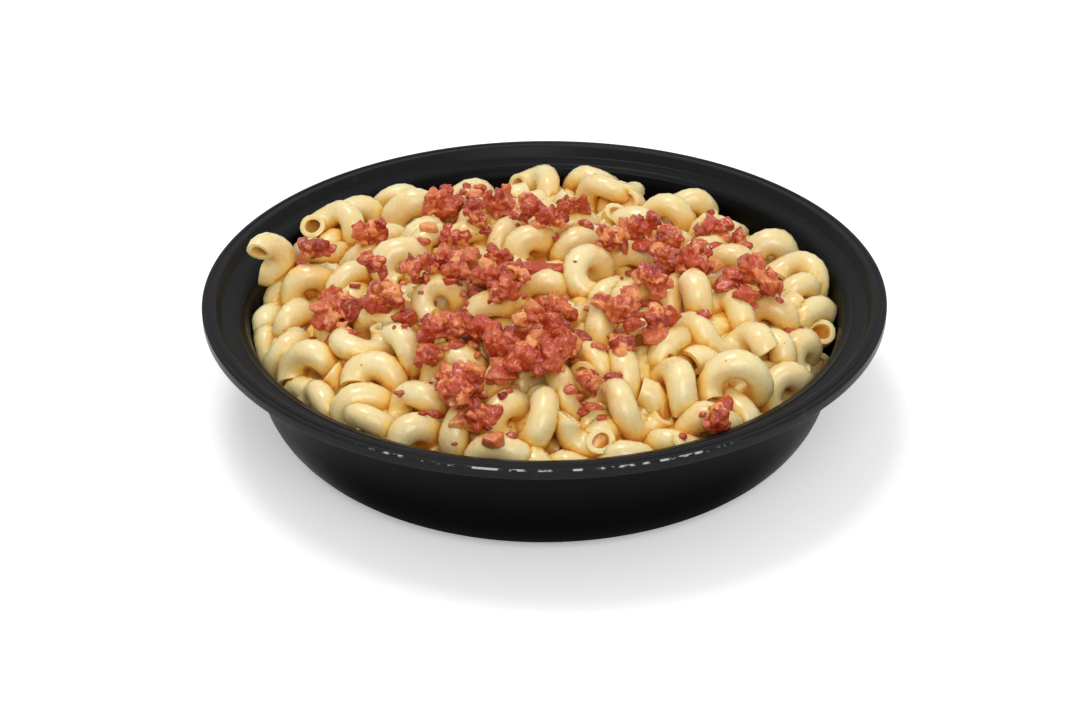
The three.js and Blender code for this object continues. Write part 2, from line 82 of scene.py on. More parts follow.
# Pieces of pasta on show: x, y, z of the middle in millimetres, heading, tilt and starting angle in
# degrees, turns of the coil, and the coil's radius and pitch in millimetres.
PASTA_ROWS = [
    (17.9, 88.9, 38.5, 31, 26, 93, 0.79, 4.8, 16.6), (-0.6, 88.1, 37.9, 339, -32, 76, 0.93, 4.8, 16.8),
    (23.2, 75.7, 41.2, 24, 30, 90, 0.92, 5.8, 20.5), (-52.8, 75, 38.2, 66, 8, 96, 0.9, 5.1, 15.6),
    (54.5, 67.8, 38.4, 70, 10, 120, 0.99, 5.8, 15.2), (-66.1, 60.8, 38.5, 91, -23, 102, 1.08, 5.4, 13),
    (-47.3, 60.5, 41.3, 72, 19, 83, 1.01, 5.8, 16), (-73.2, 48.3, 44, 5, -30, 56, 1.01, 4.5, 16.7),
    (40.8, 47.4, 44.1, 39, -2, 341, 1.74, 5, 15.5), (-56.7, 42.1, 39.2, 74, 16, 118, 0.97, 5, 15.6),
    (-80.4, 37.7, 36.4, 37, 36, 90, 0.83, 4.7, 16.1), (81, 37, 36.2, 69, -10, 141, 1.08, 5.8, 14.2),
    (9.5, 28.7, 49.5, 83, 14, 102, 1.06, 5.8, 16.4), (-38.8, 26.8, 46.1, 99, 0, 123, 0.99, 4.9, 14.5),
    (-11.9, 25.8, 49.1, 101, -2, 120, 1.02, 4.9, 15.9), (-25.7, 25.2, 49, 266, -8, 61, 0.97, 4.9, 14.1),
    (-61.2, 24.8, 41.6, 91, 44, 63, 0.84, 4.7, 16.5), (89.7, 15.1, 37.2, 18, -33, 113, 1, 5.8, 16.2),
    (12.2, 14.7, 51, 82, 14, 105, 1.02, 5.3, 15.9), (-4.3, 14.1, 52.6, 88, 4, 126, 0.94, 4.8, 13),
    (-89.1, 11.4, 27.1, 58, 43, 18, 0.52, 4.8, 16.5), (-93.6, 9.5, 50.5, 290, 30, 12, 0.74, 4.5, 14),
    (-48.8, 8.8, 48.7, 87, -9, 101, 1.11, 5.8, 13), (27.6, 8.6, 48.2, 76, 14, 117, 1.04, 5.8, 15.7),
    (60.9, 8.2, 44, 47, 8, 331, 1.69, 4.9, 15.2), (-79.6, 8, 39.4, 82, 5, 98, 1.13, 5.8, 13),
    (86.9, 7.3, 35.1, 95, 4, 112, 1.01, 5.5, 13), (-65.2, 7.1, 41.6, 93, 6, 114, 1.03, 4.8, 15.1),
    (-92, -6.7, 31.1, 139, 9, 46, 0.69, 4.7, 16.4), (89.8, -7.8, 33.4, 101, 2, 103, 1, 5.4, 14.8),
    (14.8, -8, 53.4, 109, -16, 75, 1.11, 5.8, 15.8), (-0.1, -10.8, 48.5, 59, 16, 111, 1.04, 5.8, 16.4),
    (87, -11.1, 35.6, 103, 6, 307, 0.73, 4.7, 16.3), (-83.4, -12.4, 36.3, 302, -14, 122, 1.05, 4.9, 15),
    (75.6, -13.9, 38, 51, -6, 130, 1, 5.8, 13), (43.7, -15.4, 45.6, 127, -5, 86, 0.98, 5.8, 15.2),
    (-91.3, -16.6, 28.8, 329, 6, 132, 0.74, 4.9, 15.9), (21.8, -18.6, 48.8, 109, -4, 104, 1.01, 5, 15),
    (-33.3, -19.4, 50.5, 76, -19, 135, 1.25, 5.4, 15.5), (29, -19.8, 48.9, 91, 2, 112, 0.98, 5.4, 13.9),
    (58.3, -22.9, 47.5, 352, -23, 10, 1.7, 3.9, 15.7),
    (-49.4, -24.5, 44.4, 31, 25, 140, 1.17, 5.8, 20.1),
    (-15.5, -26.2, 49.3, 64, 16, 118, 0.99, 5.8, 16), (84, -27, 32.1, 109, -3, 96, 1.06, 5, 13),
    (-84.7, -28.7, 33.9, 285, -35, 139, 0.79, 4.9, 16.5),
    (73.4, -34.7, 36.3, 23, -41, 125, 0.89, 4.7, 13.6),
    (-74.7, -37.9, 36.6, 43, 5, 118, 0.94, 5.4, 16.1), (58, -38, 44.2, 349, -6, 269, 1.37, 3.9, 20),
    (-59.5, -38.6, 44.4, 350, 45, 171, 1.01, 5, 16.3),
    (18.1, -40.4, 51, 322, -16, 129, 1.38, 4.4, 18.6),
    (-69.9, -45.6, 33.1, 63, -42, 230, 0.6, 4.8, 18.2),
    (49.8, -48.7, 35.7, 67, -52, 193, 0.93, 4.6, 16.9), (76.7, -48.9, 32.1, 90, -8, 106, 1.05, 5.8, 13),
    (-52.3, -51.8, 38.7, 51, -23, 147, 1.05, 5.2, 13.9),
    (16.1, -53.5, 43.1, 5, 2, 130, 0.93, 5.8, 18.2), (-27.6, -54.1, 44.2, 42, 7, 113, 1.04, 5.8, 16.7),
    (-70.8, -56.3, 31.3, 0, 4, 104, 0.92, 5.1, 16.2), (59.8, -58.6, 41.3, 68, -9, 116, 0.89, 7.2, 17.7),
    (30, -59.2, 42.4, 343, -10, 232, 1.76, 5.7, 17.7),
    (-14, -61.4, 42.9, 315, -36, 153, 0.95, 5.8, 17.2), (-57.5, -62.9, 34.5, 83, 1, 92, 1.07, 5.6, 13),
    (60, -63.4, 31.6, 357, 6, 96, 0.9, 4.9, 16.3), (-44, -69.4, 39.1, 17, 16, 353, 1.62, 4.2, 18),
    (18.5, -70.3, 40.3, 345, -8, 32, 1.81, 5.6, 19.3),
    (50.2, -71.6, 33.6, 55, 17, 116, 0.85, 4.9, 16.3), (-12.3, -75.5, 39.2, 103, -7, 96, 0.97, 4.9, 13),
    (-40.1, -78.7, 34.1, 84, 10, 100, 0.98, 5.2, 13.7),
    (39.4, -78.8, 30.4, 34, 24, 134, 0.79, 4.7, 16.2),
    (-25.3, -79.2, 36.1, 312, -17, 152, 0.83, 5.1, 16),
    (-1.1, -80.4, 37.4, 324, -53, 185, 0.82, 4.8, 20.5), (11, -83.9, 39.3, 276, -10, 252, 0.6, 4.9, 14),
    (23.9, -88, 29.2, 73, 10, 102, 0.94, 5.8, 13), (-14.8, -89.4, 32.9, 59, 7, 93, 0.93, 5.7, 13),
    (-86, 10, 37, 70, 0, 100, 1.1, 4.7, 16.5),
]

# Small bits of bacon: x, y, length and width in millimetres.
BIT_ROWS = [
    (-69.9, -3.1, 9, 6), (-49.4, -14.1, 8, 9), (-45.3, -32.1, 10, 7), (-5.7, -10.8, 11, 6),
    (-34.4, -84.1, 9, 8), (58.1, -18.7, 9, 8), (18.8, 22.2, 10, 6), (-5.5, -95.6, 9, 8),
    (-15.3, -92.7, 9, 8),
]


class Slot(Enum):
    """Material slots of the part."""

    BOWL = "bowl_plastic"
    PASTA = "cheesy_pasta"
    BACON = "bacon"


def rgb(red: float, green: float, blue: float) -> Colour:
    """Linear colour from a colour given in 0 to 255.

    Args:
        red: The red of the colour.
        green: Its green.
        blue: Its blue.

    Returns:
        The colour with an alpha of 1.
    """

    def linear(value: float) -> float:
        """Linear light of one channel."""
        v = value / 255
        return v / 12.92 if v <= 0.04045 else ((v + 0.055) / 1.055) ** 2.4

    return linear(red), linear(green), linear(blue), 1.0


# ---------------------------------------------------------------- modelling


def only(*things: bpy.types.Object) -> None:
    """Selects these objects and nothing else, the first one active.

    Args:
        things: The objects.
    """
    bpy.ops.object.select_all(action="DESELECT")
    for thing in things:
        thing.select_set(True)
    bpy.context.view_layer.objects.active = things[0]


@contextmanager
def edit(thing: bpy.types.Object) -> Iterator[None]:
    """Edit mode on one object, with all of its mesh selected at the start.

    Args:
        thing: The object to edit.

    Yields:
        Nothing, once edit mode is on.
    """
    only(thing)
    bpy.ops.object.mode_set(mode="EDIT")
    bpy.ops.mesh.select_all(action="SELECT")
    yield
    bpy.ops.object.mode_set(mode="OBJECT")


def modify(thing: bpy.types.Object, kind: str, **settings: object) -> None:
    """Adds a modifier, sets it and applies it.

    Args:
        thing: The object to change.
        kind: The modifier's type.
        settings: The modifier's own settings.
    """
    only(thing)
    modifier = thing.modifiers.new(kind.title(), kind)
    for name, value in settings.items():
        setattr(modifier, name, value)
    bpy.ops.object.modifier_apply(modifier=modifier.name)


def settle(thing: bpy.types.Object) -> None:
    """Puts an object's place, turn and size into its mesh."""
    only(thing)
    bpy.ops.object.transform_apply(location=True, rotation=True, scale=True)


def join(things: Sequence[bpy.types.Object], name: str) -> bpy.types.Object:
    """Joins objects into one.

    Args:
        things: The objects, of which the first takes the others.
        name: The name of the joined object.

    Returns:
        The joined object.
    """
    only(*things)
    if len(things) > 1:
        bpy.ops.object.join()
    whole = bpy.context.view_layer.objects.active
    whole.name = name
    whole.data.name = name
    return whole


def copy_of(thing: bpy.types.Object, name: str, place: Matrix = Matrix()) -> bpy.types.Object:
    """A copy with a mesh of its own.

    Args:
        thing: The object to copy.
        name: The copy's name.
        place: Where the copy goes, as a change of its mesh.

    Returns:
        The copy.
    """
    twin = bpy.data.objects.new(name, thing.data.copy())
    bpy.context.collection.objects.link(twin)
    twin.data.transform(place)
    return twin


def discard(*things: bpy.types.Object) -> None:
    """Removes helper objects and their meshes.

    Args:
        things: The objects.
    """
    for thing in things:
        mesh = thing.data
        bpy.data.objects.remove(thing)
        bpy.data.meshes.remove(mesh)


def points_of(thing: bpy.types.Object) -> np.ndarray:
    """Reads an object's vertices.

    Args:
        thing: The object.

    Returns:
        Rows of x, y, z in metres.
    """
    flat = np.zeros(len(thing.data.vertices) * 3)
    thing.data.vertices.foreach_get("co", flat)
    return flat.reshape(-1, 3)


def set_points(thing: bpy.types.Object, points: np.ndarray) -> None:
    """Moves an object's vertices to the rows of x, y, z."""
    thing.data.vertices.foreach_set("co", points.ravel())
    thing.data.update()


def mark(thing: bpy.types.Object, name: str, values: Union[float, np.ndarray]) -> None:
    """Gives each vertex a number under a name, for a finish to read.

    Args:
        thing: The object.
        name: The name that a finish reads.
        values: One number for all, or one for each vertex.
    """
    layer = thing.data.attributes.get(name) or thing.data.attributes.new(name, "FLOAT", "POINT")
    count = len(thing.data.vertices)
    layer.data.foreach_set("value", np.broadcast_to(np.asarray(values, float), (count,)).copy())


def lumps(name: str, size: float, colour: bool = False) -> bpy.types.Texture:
    """A cloudy noise pattern for pushing a surface in and out.

    Args:
        name: The pattern's name.
        size: The size of one lump in metres.
        colour: Whether it has three channels that differ.

    Returns:
        The texture.
    """
    pattern = bpy.data.textures.new(name, "CLOUDS")
    pattern.noise_scale = size
    pattern.noise_depth = 1
    pattern.cloud_type = "COLOR" if colour else "GRAYSCALE"
    return pattern


def mark_crevices(things: Sequence[bpy.types.Object], shades: Sequence[bpy.types.Object],
                  reach: float, rays: int = 9, spread: float = 0.85, lift: float = 0.02,
                  underside: float = 0.14) -> None:
    """Gives each vertex the share of its view that is closed off, and more where it faces down,
    as the amount of painted shade that its finish lays on.

    Args:
        things: The pieces to mark, which also shade each other.
        shades: Other pieces that shade them.
        reach: How far a surface still counts, in metres.
        rays: How many directions are tried round each vertex.
        spread: How far they lean from the normal, where 1 lies flat on the surface.
        lift: Where they start above the surface, as a share of the reach.
        underside: What a vertex that faces sideways gets on top. One that faces down gets twice.
    """
    whole = join([copy_of(thing, "shades") for thing in (*things, *shades)], "shades")
    tree = BVHTree.FromObject(whole, bpy.context.evaluated_depsgraph_get())
    turn = np.arange(rays) + 0.5
    rise = 1 - spread * turn / rays
    around = np.sqrt(1 - rise ** 2)
    angle = turn * GOLDEN_ANGLE
    fan = [Vector(ray) for ray in zip(around * np.cos(angle), around * np.sin(angle), rise)]
    for thing in things:
        shut = np.zeros(len(thing.data.vertices))
        for i, vertex in enumerate(thing.data.vertices):
            turned = vertex.normal.to_track_quat("Z", "Y").to_matrix()
            start = vertex.co + vertex.normal * reach * lift
            for ray in fan:
                hit = tree.ray_cast(start, turned @ ray, reach)[3]
                if hit is not None:
                    shut[i] += (1 - hit / reach) / rays
            shut[i] += underside * (1 - vertex.normal.z)
        mark(thing, "painted_crevice_shade", shut)
    discard(whole)


def extrude_along(section: Sequence[Span]) -> None:
    """Extrudes the selected ring from one radius and height to the next.

    Args:
        section: Points of radius and height in millimetres, the first where the ring is.
    """
    for (r, z), (wide, high) in zip(section, section[1:]):
        bpy.ops.mesh.extrude_region_move(
            TRANSFORM_OT_translate={"value": (0, 0, (high - z) * MM)})
        bpy.ops.transform.resize(value=(wide / r, wide / r, 1), center_override=(0, 0, 0))


def thin(thing: bpy.types.Object, most: int) -> None:
    """Thins a mesh where it has too many triangles.

    Args:
        thing: The object.
        most: The most triangles that it may have.
    """
    thing.data.calc_loop_triangles()
    count = len(thing.data.loop_triangles)
    log.info("%s before thinning: %d triangles", thing.name, count)
    if count > most:
        modify(thing, "DECIMATE", ratio=most / count)


def smooth(thing: bpy.types.Object, angle: float = math.pi) -> None:
    """Smooth shading, with edges sharper than the angle kept crisp.

    Args:
        thing: The object.
        angle: The least angle of a crisp edge.
    """
    only(thing)
    bpy.ops.object.shade_smooth_by_angle(angle=angle)


def report(thing: bpy.types.Object) -> None:
    """Logs a finished piece and how many triangles it has."""
    thing.data.calc_loop_triangles()
    log.info("%s: %d triangles", thing.name, len(thing.data.loop_triangles))


# ---------------------------------------------------------------- shading


Number = Union["Amount", float]


class Amount:
    """A number in a shader that takes part in Python sums."""

    def __init__(self, paint: "Paint", socket: bpy.types.NodeSocket) -> None:
        """Wraps a socket of a paint."""
        self.paint = paint
        self.socket = socket

    def _with(self, operation: str, other: Number) -> "Amount":
        """A Math node on this number and another."""
        return self.paint.maths(operation, self, other)

    def __add__(self, other: Number) -> "Amount":
        """Sum."""
        return self._with("ADD", other)

    def __radd__(self, other: Number) -> "Amount":
        """Sum, with a plain number first."""
        return self.paint.maths("ADD", other, self)

    def __sub__(self, other: Number) -> "Amount":
        """Difference."""
        return self._with("SUBTRACT", other)

    def __rsub__(self, other: Number) -> "Amount":
        """Difference, with a plain number first."""
        return self.paint.maths("SUBTRACT", other, self)

    def __mul__(self, other: Number) -> "Amount":
        """Product."""
        return self._with("MULTIPLY", other)

    def __rmul__(self, other: Number) -> "Amount":
        """Product, with a plain number first."""
        return self.paint.maths("MULTIPLY", other, self)

    def __truediv__(self, other: Number) -> "Amount":
        """Quotient."""
        return self._with("DIVIDE", other)

    def __pow__(self, other: Number) -> "Amount":
        """Power."""
        return self._with("POWER", other)

    def step(self, low: float, high: float) -> "Amount":
        """0 below low, 1 above high and smooth between, or falling where low is the larger."""
        return self.paint.ramp(self, low, high)


class Paint:
    """One material and the nodes that make it."""

    def __init__(self, name: str) -> None:
        """Starts an empty material.

        Args:
            name: The material's name.
        """
        self.material = bpy.data.materials.new(name)
        self.material.use_nodes = True
        self.tree = self.material.node_tree
        self.tree.nodes.clear()
        self.place = self.node("ShaderNodeTexCoord").outputs["Object"]

    def node(self, kind: str, settings: Optional[dict] = None,
             values: Optional[dict] = None) -> bpy.types.Node:
        """Adds a node.

        Args:
            kind: The node's type.
            settings: Its own settings, and a colour ramp's "stops".
            values: A value or a link for each named or numbered input.

        Returns:
            The node.
        """
        node = self.tree.nodes.new(kind)
        for name, value in (settings or {}).items():
            if name == "stops":
                self._stops(node.color_ramp, value)
            else:
                setattr(node, name, value)
        for name, value in (values or {}).items():
            self.feed(node.inputs[name], value)
        return node

    @staticmethod
    def _stops(ramp: bpy.types.ColorRamp, stops: Sequence[tuple[float, Colour]]) -> None:
        """Sets the stops of a colour ramp.

        Args:
            ramp: The ramp.
            stops: The position and the colour of each stop.
        """
        while len(ramp.elements) < len(stops):
            ramp.elements.new(0.5)
        for element, (position, colour) in zip(ramp.elements, stops):
            element.position = position
            element.color = colour

    def feed(self, socket: bpy.types.NodeSocket, value: object) -> None:
        """Sets an input, or links it where the value comes from another node.

        Args:
            socket: The input.
            value: A value or an output of another node.
        """
        if isinstance(value, Amount):
            value = value.socket
        if isinstance(value, bpy.types.NodeSocket):
            self.tree.links.new(value, socket)
        else:
            socket.default_value = value

    def maths(self, operation: str, *numbers: Number) -> Amount:
        """A Math node on one to three numbers.

        Args:
            operation: What the node does.
            numbers: Its inputs.

        Returns:
            The result.
        """
        node = self.node("ShaderNodeMath", {"operation": operation}, dict(enumerate(numbers)))
        return Amount(self, node.outputs[0])

    def ramp(self, number: Number, low: float, high: float) -> Amount:
        """A number mapped smoothly from one range to 0..1.

        Args:
            number: The number.
            low: Where the result is 0.
            high: Where the result is 1, above or below low.

        Returns:
            The result.
        """
        first, last, start, end = (low, high, 0.0, 1.0) if low < high else (high, low, 1.0, 0.0)
        node = self.node("ShaderNodeMapRange", {"interpolation_type": "SMOOTHSTEP"}, {
            "Value": number, "From Min": first, "From Max": last, "To Min": start, "To Max": end})
        return Amount(self, node.outputs["Result"])

    def mix(self, first: object, second: object, factor: Number) -> bpy.types.NodeSocket:
        """A colour between two others.

        Args:
            first: The colour where the factor is 0.
            second: The colour where it is 1.
            factor: How much of the second shows.

        Returns:
            The mixed colour.
        """
        node = self.node("ShaderNodeMix", {"data_type": "RGBA"}, {
            "Factor": factor, 6: first, 7: second})
        return node.outputs[2]

    def noise(self, size: float, detail: float = 2.0, stretch: Vector = Vector((1, 1, 1)),
              warp: float = 0.0) -> Amount:
        """Cloudy noise.

        Args:
            size: The size of one cloud in metres.
            detail: How many finer layers it has.
            stretch: How much it is squeezed along each axis.
            warp: How much it swirls.

        Returns:
            The noise, between 0 and 1.
        """
        where = self.node("ShaderNodeVectorMath", {"operation": "MULTIPLY"}, {
            0: self.place, 1: tuple(stretch)}).outputs[0]
        node = self.node("ShaderNodeTexNoise", {}, {
            "Vector": where, "Scale": 1 / size, "Detail": detail, "Distortion": warp})
        return Amount(self, node.outputs["Fac"])

    def cells(self, size: float) -> Amount:
        """Distance inside cells of a size in metres.

        Args:
            size: The size of one cell.

        Returns:
            The distance to a cell's middle.
        """
        node = self.node("ShaderNodeTexVoronoi", {}, {"Vector": self.place, "Scale": 1 / size})
        return Amount(self, node.outputs["Distance"])

    def attribute(self, name: str) -> Amount:
        """A number that the piece's own vertices hold.

        Args:
            name: What mark() called it.

        Returns:
            The number.
        """
        node = self.node("ShaderNodeAttribute", {"attribute_name": name})
        return Amount(self, node.outputs["Fac"])

    def axis(self, name: str) -> Amount:
        """One coordinate of the place on the piece, in metres."""
        return Amount(self, self.node("ShaderNodeSeparateXYZ", {}, {0: self.place}).outputs[name])

    def bump(self, height: Number, depth: float) -> bpy.types.NodeSocket:
        """A bumpy normal.

        Args:
            height: The height of the relief, between 0 and 1.
            depth: The depth of a height of 1, in metres.

        Returns:
            The normal.
        """
        node = self.node("ShaderNodeBump", {}, {
            "Strength": 1.0, "Distance": depth, "Height": height})
        return node.outputs["Normal"]

    def surface(self, matt: Optional[Number] = None, **inputs: object) -> bpy.types.Material:
        """Finishes the material with a Principled shader.

        Args:
            matt: How much of a plain matt shader of the same colour takes its place.
            inputs: The shader's inputs, named with _ for a space.

        Returns:
            The material.
        """
        values = {name.replace("_", " "): value for name, value in inputs.items()}
        shader = self.node("ShaderNodeBsdfPrincipled", {}, values)
        if matt is not None:
            plain = self.node("ShaderNodeBsdfDiffuse", {}, {"Color": inputs["Base_Color"]})
            shader = self.node("ShaderNodeMixShader", {}, {
                0: matt, 1: shader.outputs[0], 2: plain.outputs[0]})
        self.node("ShaderNodeOutputMaterial", {}, {"Surface": shader.outputs[0]})
        return self.material


def dress(thing: bpy.types.Object, material: bpy.types.Material) -> None:
    """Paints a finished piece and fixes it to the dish.

    Args:
        thing: The piece.
        material: Its finish.
    """
    thing.data.materials.clear()
    thing.data.materials.append(material)
    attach(thing, "root")
    report(thing)


# ---------------------------------------------------------------- bowl


@dataclass(frozen=True)
class BlackPlastic:
    """Satin black polypropylene with faint moulding rings and a few scuffs.

    The top of the rim is mixed lighter, a painted sheen. The wall is matt in front, low down,
    which takes its reflection away as painted shade, and a broken line of painted glints lies
    along the front of the lip. Each span is where an effect starts and where it is full, in metres
    from the bowl's middle or above its base, but wall_side is a share of the radius.
    """

    colour: Colour = rgb(5, 5, 6)
    painted_rim_sheen: Colour = rgb(30, 30, 32)
    worn: Colour = rgb(58, 58, 58)
    painted_glint: Colour = rgb(170, 172, 176)
    gloss: float = 0.3
    wall_gloss: float = 0.42
    uneven: float = 0.12
    matt: float = 0.85
    ring_width: float = 0.0009
    relief: float = 0.00004
    rim_height: Span = (0.036, 0.044)
    flange_radius: Span = (0.101, 0.1035)
    ring_radius: Span = (0.1025, 0.104)
    lip_radius: Span = (0.11402, 0.11412)
    lip_height: Span = (0.0454, 0.0456)
    front_depth: Span = (-0.085, -0.098)
    front_width_squared: Span = (0.0036, 0.0018)
    wall_side: Span = (-0.55, -0.85)
    wall_height: Span = (0.036, 0.012)

    def material(self) -> bpy.types.Material:
        """Builds the finish.

        Returns:
            The material.
        """
        paint = Paint("black_plastic")
        x, y, z = (paint.axis(name) for name in "XYZ")
        radius = (x * x + y * y) ** 0.5
        scuff = paint.noise(0.009, 4.0).step(0.62, 0.78) * paint.noise(0.0016, 2.0)
        height = z.step(*self.rim_height)
        rings = paint.maths("SINE", radius * (TURN / self.ring_width)) * 0.5 + 0.5
        grain = paint.noise(0.0007, 2.0)
        relief = rings * 0.25 * radius.step(*self.ring_radius) + grain * 0.5
        clouds = paint.noise(0.02, 3.0) - 0.5
        rough = self.wall_gloss - height * (self.wall_gloss - self.gloss) + (
            scuff * self.uneven) + clouds * self.uneven
        flange = height * radius.step(*self.flange_radius)
        # Painted sheen: the top of the rim is mixed lighter, standing for its reflection of the light.
        plain = paint.mix(self.colour, self.painted_rim_sheen, flange)
        # Painted glints: a broken light line along the front of the lip, where the light catches its
        # edge.
        front = y.step(*self.front_depth) * (x * x).step(*self.front_width_squared)
        lip = radius.step(*self.lip_radius) * z.step(*self.lip_height)
        painted_glints = paint.noise(0.0028, 3.0).step(0.46, 0.6) * front * lip
        plain = paint.mix(plain, self.worn, scuff * flange * 0.6)
        # Painted shade: low on the front of the wall a matt shader takes the reflection away.
        painted_front_shade = (y / radius).step(*self.wall_side) * z.step(*self.wall_height)
        return paint.surface(
            matt=painted_front_shade * self.matt,
            Base_Color=paint.mix(plain, self.painted_glint, painted_glints),
            Roughness=rough, Specular_IOR_Level=0.08,
            Normal=paint.bump(relief, self.relief))


@dataclass
class Bowl:
    """Round take-out bowl: flat base, curved wall, seat for a lid and a flange with a skirt."""

    rim_height: float = 46.0
    rim_radius: float = 114.5
    flange_inner: float = 109.9
    skirt_drop: float = 3.3
    ledge_outer: float = 108.1
    ledge_inner: float = 103.4
    ledge_drop: float = 3.8
    ledge_slope: float = 0.8
    shoulder_drop: float = 3.2
    flange_wall: float = 1.1
    groove: float = 0.35
    wall: float = 1.0
    wall_top: float = 100.4
    knee_radius: float = 98.0
    knee_height: float = 22.0
    base_radius: float = 82.0
    sides: int = 240
    finish: BlackPlastic = BlackPlastic()

    def wall_curve(self, inset: float, steps: int = 14) -> list[tuple[float, float]]:
        """Section of the wall from the base to the knee.

        Args:
            inset: How far inwards it is moved, in millimetres.
            steps: How many steps the curve has.

        Returns:
            Points of radius and height.
        """
        across = self.knee_radius - self.base_radius - inset
        points = []
        for i in range(steps + 1):
            a = math.pi / 2 * i / steps
            points.append((self.base_radius + across * math.sin(a),
                           self.knee_height - (self.knee_height - inset) * math.cos(a)))
        return points

    @staticmethod
    def rounded(corners: Sequence[tuple[float, float, float]], steps: int = 4) -> list:
        """Section through corners, with a fillet at each as a smooth curve.

        Args:
            corners: The x, z and fillet of each corner.
            steps: How many steps each fillet has.

        Returns:
            Points of x and z.
        """
        points = []
        for i, (x, z, fillet) in enumerate(corners):
            here = Vector((x, z))
            if fillet == 0 or i in (0, len(corners) - 1):
                points.append((x, z))
                continue
            before = (Vector(corners[i - 1][:2]) - here).normalized()
            after = (Vector(corners[i + 1][:2]) - here).normalized()
            start, end = here + before * fillet, here + after * fillet
            for k in range(steps + 1):
                t = k / steps
                p = start * (1 - t) ** 2 + here * 2 * t * (1 - t) + end * t * t
                points.append((p.x, p.y))
        return points

    def section(self) -> list[tuple[float, float]]:
        """Section of the bowl, up the outside, over the rim and down the inside.

        Returns:
            Points of radius and height.
        """
        top = self.rim_height
        ledge = top - self.ledge_drop
        seat = ledge - self.ledge_slope
        shoulder = seat - self.shoulder_drop
        r = self.rim_radius
        rim = self.rounded([
            (self.knee_radius, self.knee_height, 0),
            (self.wall_top, shoulder, 0.8),
            (self.ledge_inner - 1, seat - self.wall, 0.8),
            (self.ledge_outer + 0.8, ledge - self.wall, 0.6),
            (self.flange_inner + 0.6, top - self.flange_wall, 0.5),
            (r - 1.2, top - self.flange_wall, 0.4),
            (r - self.flange_wall, top - self.skirt_drop, 0),
            (r, top - self.skirt_drop, 0.3),
            (r, top, 0.55),
            (r - 1.5, top, 0.3),
            (r - 1.8, top - self.groove, 0.15),
            (r - 2.3, top - self.groove, 0.15),
            (r - 2.6, top - 0.05, 0.2),
            (self.flange_inner, top - 0.05, 0.45),
            (self.ledge_outer, ledge, 0.7),
            (self.ledge_inner + 0.6, seat + 0.1, 0.2),
            (self.ledge_inner, seat + 0.35, 0.3),
            (self.ledge_inner - 0.5, seat, 0.3),
            (self.wall_top + 0.3, seat - 0.9, 0.6),
            (self.wall_top - self.wall, shoulder, 0.8),
            (self.knee_radius - self.wall, self.knee_height, 0)])
        inside = self.wall_curve(self.wall)
        return self.wall_curve(0)[:-1] + rim + inside[-2::-1]

    def inner_radius(self, height: np.ndarray, gap: float) -> np.ndarray:
        """Radius of the inside of the wall, in millimetres.

        Args:
            height: The heights above the base.
            gap: How far from the wall to stay.

        Returns:
            The radius at each height.
        """
        ledge = self.rim_height - self.ledge_drop
        shoulder = ledge - self.ledge_slope - self.shoulder_drop
        r, z = zip(*self.wall_curve(self.wall + gap),
                   (self.wall_top - self.wall - gap, shoulder),
                   (self.wall_top - gap, shoulder + 2.6),
                   (self.ledge_inner - gap, ledge + 0.2),
                   (self.ledge_outer - 1.2, ledge + 0.6))
        return np.interp(height, z, r)

    def build(self) -> bpy.types.Object:
        """Extrudes a ring along the section and closes the base inside and out.

        Returns:
            The bowl.
        """
        section = self.section()
        r0, z0 = section[0]
        bpy.ops.object.select_all(action="DESELECT")
        bpy.ops.mesh.primitive_circle_add(vertices=self.sides, radius=r0 * MM,
                                          fill_type="NOTHING", location=(0, 0, z0 * MM))
        bowl = bpy.context.object
        settle(bowl)
        with edit(bowl):
            extrude_along(section)
            bpy.ops.mesh.edge_face_add()
            bpy.ops.mesh.select_all(action="DESELECT")
        base = np.arange(len(bowl.data.vertices)) < self.sides
        bowl.data.vertices.foreach_set("select", base)
        only(bowl)
        bpy.ops.object.mode_set(mode="EDIT")
        bpy.ops.mesh.edge_face_add()
        bpy.ops.mesh.select_all(action="SELECT")
        bpy.ops.mesh.normals_make_consistent(inside=False)
        bpy.ops.object.mode_set(mode="OBJECT")
        smooth(bowl, math.radians(40))
        bowl.name = "black_bowl"
        return bowl

    def dress(self, bowl: bpy.types.Object) -> None:
        """Paints the bowl, which stands for the part's plain one."""
        dress(bowl, self.finish.material())
        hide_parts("bowl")


# ---------------------------------------------------------------- pasta


